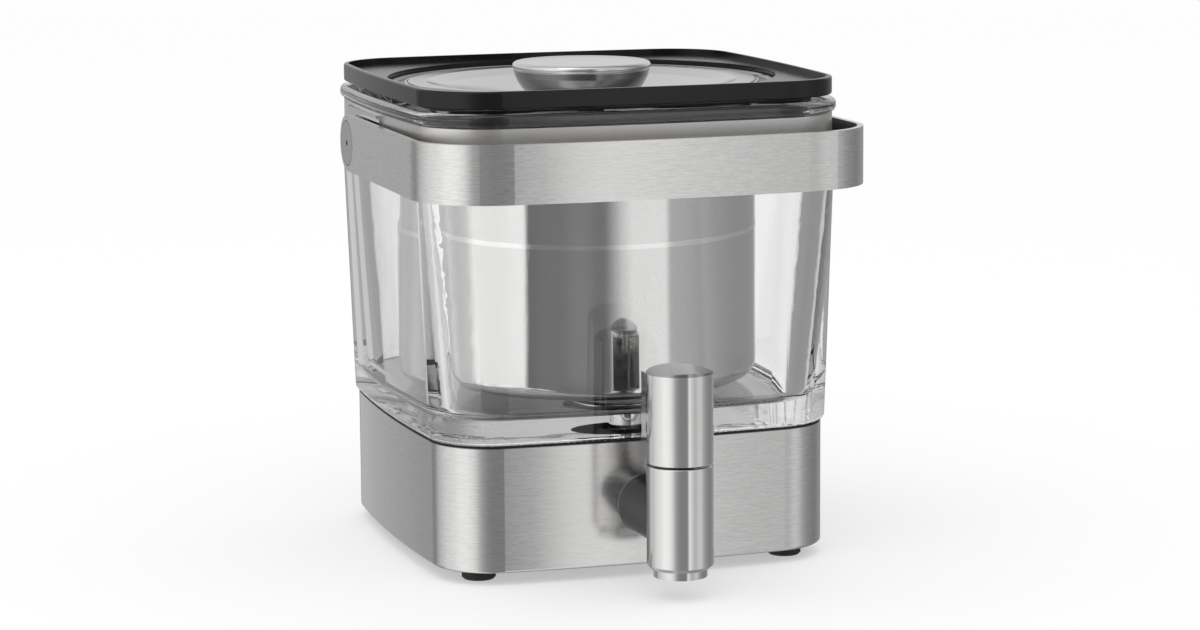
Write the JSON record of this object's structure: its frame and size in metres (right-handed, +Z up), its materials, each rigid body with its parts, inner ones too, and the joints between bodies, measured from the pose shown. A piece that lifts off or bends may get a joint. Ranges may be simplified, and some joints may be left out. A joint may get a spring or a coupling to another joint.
{
  "type": "cold brew coffee maker",
  "caption": "Square glass cold brew jar on a steel base with a lever tap, lift-out mesh steeper, knobbed lid and a swinging carry handle.",
  "frame": {"origin": "on the rest surface, under the middle of the whole box, tap included", "axes": "+Z up, the tap and the front face -Y, +X to the right seen from the front"},
  "size_m": [0.1904, 0.2311, 0.2046],
  "materials": {
    "brushed_steel": "horizontal brushed satin",
    "polished_steel": "polished",
    "black_plastic": "satin",
    "black_rubber": "matt",
    "jar_glass": "clear, polished",
    "steel_mesh": "fine etched mesh",
    "grey_plastic": "moulded"
  },
  "bodies": {
    "root": {"base_plate": "grey_plastic", "base_screws": "polished_steel", "base_shell": "brushed_steel", "base_tray": "grey_plastic", "feed_pipe": "grey_plastic", "foot_front_left": "black_rubber", "foot_front_right": "black_rubber", "foot_rear_left": "black_rubber", "foot_rear_right": "black_rubber", "glass_jar": "jar_glass", "jar_collar": "brushed_steel", "jar_cushion": "black_rubber", "outlet_fitting": "polished_steel", "outlet_gasket_bottom": "black_rubber", "outlet_gasket_top": "black_rubber", "outlet_nut": "polished_steel", "pivot_bracket_left": "polished_steel", "pivot_bracket_right": "polished_steel", "pivot_pin_left": "polished_steel", "pivot_pin_right": "polished_steel", "pivot_washer_left": "grey_plastic", "pivot_washer_right": "grey_plastic", "screw_posts": "grey_plastic", "shank_gasket": "black_rubber", "shank_nut": "polished_steel", "tap_body": "brushed_steel", "tap_collar": "black_plastic", "tap_lug": "polished_steel", "tap_nozzle": "polished_steel", "tap_pivot_pin": "polished_steel", "tap_shank": "polished_steel"},
    "carry_handle": {"carry_handle": "brushed_steel", "pivot_cap_left": "brushed_steel", "pivot_cap_right": "brushed_steel"},
    "tap_handle": {"tap_handle": "brushed_steel"},
    "tap_valve": {"valve_stem": "polished_steel", "valve_seal": "black_rubber", "stem_spring": "polished_steel"},
    "lid_frame": {"lid_frame": "black_plastic", "lid_seal": "black_rubber"},
    "steeper": {"steeper_flange": "polished_steel", "steeper_mesh_upper": "steel_mesh", "steeper_level_band": "brushed_steel", "steeper_mesh_lower": "steel_mesh", "steeper_bottom": "steel_mesh"},
    "steeper_lid": {"steeper_lid": "polished_steel", "steeper_lid_seal": "black_rubber", "knob_body": "polished_steel", "knob_cap": "polished_steel", "knob_screw": "polished_steel", "knob_washer": "black_rubber"}
  },
  "joints": [
    {"name": "carry_handle_swing", "type": "hinge", "parent": "root", "child": "carry_handle", "pos_m": [0, 0.05357, 0.16955], "axis": [-1, 0, 0], "range_deg": [0, 180]},
    {"name": "tap_lever_tilt", "type": "hinge", "parent": "root", "child": "tap_handle", "pos_m": [0, -0.10222, 0.0652], "axis": [-1, 0, 0], "range_deg": [0, 15], "stiffness_Nm_per_rad": 0.3, "springref_deg": -11.46},
    {"name": "valve_lift", "type": "slide", "parent": "root", "child": "tap_valve", "axis": [0, 0, 1], "range_m": [0, 0.0015]},
    {"name": "lid_frame_lift", "type": "slide", "parent": "root", "child": "lid_frame", "axis": [0, 0, 1], "range_m": [0, 0.06]},
    {"name": "steeper_lift", "type": "slide", "parent": "lid_frame", "child": "steeper", "axis": [0, 0, 1], "range_m": [0, 0.135]},
    {"name": "steeper_lid_lift", "type": "slide", "parent": "steeper", "child": "steeper_lid", "axis": [0, 0, 1], "range_m": [0, 0.06]}
  ],
  "couplings": [
    {"joint": "valve_lift", "follows": "tap_lever_tilt", "m_per_rad": 0.0057}
  ]
}
